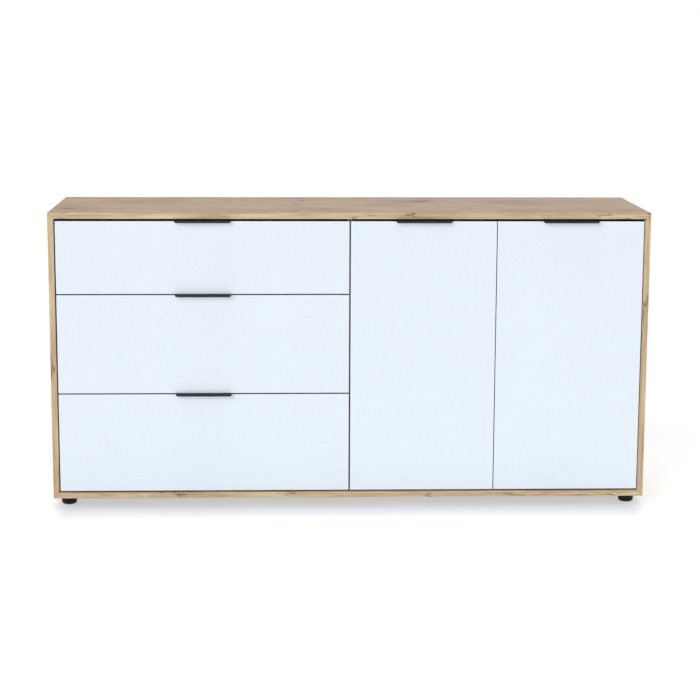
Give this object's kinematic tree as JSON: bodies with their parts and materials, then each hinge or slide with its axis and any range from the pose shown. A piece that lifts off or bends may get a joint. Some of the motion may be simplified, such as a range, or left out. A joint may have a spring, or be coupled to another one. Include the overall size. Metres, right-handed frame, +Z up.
{
  "type": "sideboard buffet",
  "caption": "Low wide sideboard in oak decor with white inset fronts: drawers stacked on the left, hinged cupboard doors on the right, black lip handles and round feet.",
  "frame": {"origin": "on the floor, under the middle of the whole outline, handles included", "axes": "+X to the right as seen from the front, +Y towards the back, +Z up; the fronts face -Y"},
  "size_m": [1.6, 0.463, 0.8],
  "materials": {
    "oak": "oak decor laminate, light brown with brown grain lines and cracks, satin",
    "white_front": "cool white lacquered laminate, soft gloss",
    "white_board": "white melamine board, satin",
    "back_sheet": "thin white faced fibreboard",
    "handle_black": "black powder coat, satin",
    "foot_plastic": "black moulded plastic",
    "rail_steel": "zinc plated sheet steel",
    "hinge_steel": "nickel plated pressed steel"
  },
  "bodies": {
    "cabinet": {"top_panel": "oak", "bottom_panel": "oak", "left_side_panel": "oak", "right_side_panel": "oak", "centre_partition": "oak", "back_panel": "back_sheet", "shelf": "oak", "foot_front_left": "foot_plastic", "foot_front_right": "foot_plastic", "foot_rear_left": "foot_plastic", "foot_rear_right": "foot_plastic", "foot_centre": "foot_plastic", "drawer_top_cabinet_rail_left": "rail_steel", "drawer_top_cabinet_rail_right": "rail_steel", "drawer_middle_cabinet_rail_left": "rail_steel", "drawer_middle_cabinet_rail_right": "rail_steel", "drawer_bottom_cabinet_rail_left": "rail_steel", "drawer_bottom_cabinet_rail_right": "rail_steel", "door_left_upper_hinge_arm": "hinge_steel", "door_left_lower_hinge_arm": "hinge_steel", "door_right_upper_hinge_arm": "hinge_steel", "door_right_lower_hinge_arm": "hinge_steel"},
    "drawer_top": {"drawer_top_front": "white_front", "drawer_top_handle": "handle_black", "drawer_top_box_side_left": "white_board", "drawer_top_box_side_right": "white_board", "drawer_top_box_back": "white_board", "drawer_top_box_bottom": "back_sheet", "drawer_top_drawer_rail_left": "rail_steel", "drawer_top_drawer_rail_right": "rail_steel"},
    "drawer_middle": {"drawer_middle_front": "white_front", "drawer_middle_handle": "handle_black", "drawer_middle_box_side_left": "white_board", "drawer_middle_box_side_right": "white_board", "drawer_middle_box_back": "white_board", "drawer_middle_box_bottom": "back_sheet", "drawer_middle_drawer_rail_left": "rail_steel", "drawer_middle_drawer_rail_right": "rail_steel"},
    "drawer_bottom": {"drawer_bottom_front": "white_front", "drawer_bottom_handle": "handle_black", "drawer_bottom_box_side_left": "white_board", "drawer_bottom_box_side_right": "white_board", "drawer_bottom_box_back": "white_board", "drawer_bottom_box_bottom": "back_sheet", "drawer_bottom_drawer_rail_left": "rail_steel", "drawer_bottom_drawer_rail_right": "rail_steel"},
    "door_left_hinge_links": {"door_left_upper_hinge_link": "hinge_steel", "door_left_lower_hinge_link": "hinge_steel"},
    "door_left": {"door_left_panel": "white_front", "door_left_handle": "handle_black", "door_left_upper_hinge_cup": "hinge_steel", "door_left_lower_hinge_cup": "hinge_steel"},
    "door_right_hinge_links": {"door_right_upper_hinge_link": "hinge_steel", "door_right_lower_hinge_link": "hinge_steel"},
    "door_right": {"door_right_panel": "white_front", "door_right_handle": "handle_black", "door_right_upper_hinge_cup": "hinge_steel", "door_right_lower_hinge_cup": "hinge_steel"}
  },
  "joints": [
    {"name": "drawer_top_slide", "type": "slide", "parent": "cabinet", "child": "drawer_top", "axis": [0, -1, 0], "range_m": [0, 0.29]},
    {"name": "drawer_middle_slide", "type": "slide", "parent": "cabinet", "child": "drawer_middle", "axis": [0, -1, 0], "range_m": [0, 0.29]},
    {"name": "drawer_bottom_slide", "type": "slide", "parent": "cabinet", "child": "drawer_bottom", "axis": [0, -1, 0], "range_m": [0, 0.29]},
    {"name": "door_left_hinge_links_pivot", "type": "hinge", "parent": "cabinet", "child": "door_left_hinge_links", "pos_m": [0.0304, -0.1945, 0.41265], "axis": [0, 0, 1], "range_deg": [0, 30]},
    {"name": "door_left_hinge", "type": "hinge", "parent": "door_left_hinge_links", "child": "door_left", "pos_m": [0.0109, -0.2075, 0.41265], "axis": [0, 0, -1], "range_deg": [0, 120]},
    {"name": "door_right_hinge_links_pivot", "type": "hinge", "parent": "cabinet", "child": "door_right_hinge_links", "pos_m": [0.7516, -0.1945, 0.41265], "axis": [0, 0, -1], "range_deg": [0, 30]},
    {"name": "door_right_hinge", "type": "hinge", "parent": "door_right_hinge_links", "child": "door_right", "pos_m": [0.7711, -0.2075, 0.41265], "axis": [0, 0, 1], "range_deg": [0, 120]}
  ],
  "couplings": [
    {"joint": "door_left_hinge_links_pivot", "follows": "door_left_hinge", "ratio": 0.25},
    {"joint": "door_right_hinge_links_pivot", "follows": "door_right_hinge", "ratio": 0.25}
  ]
}
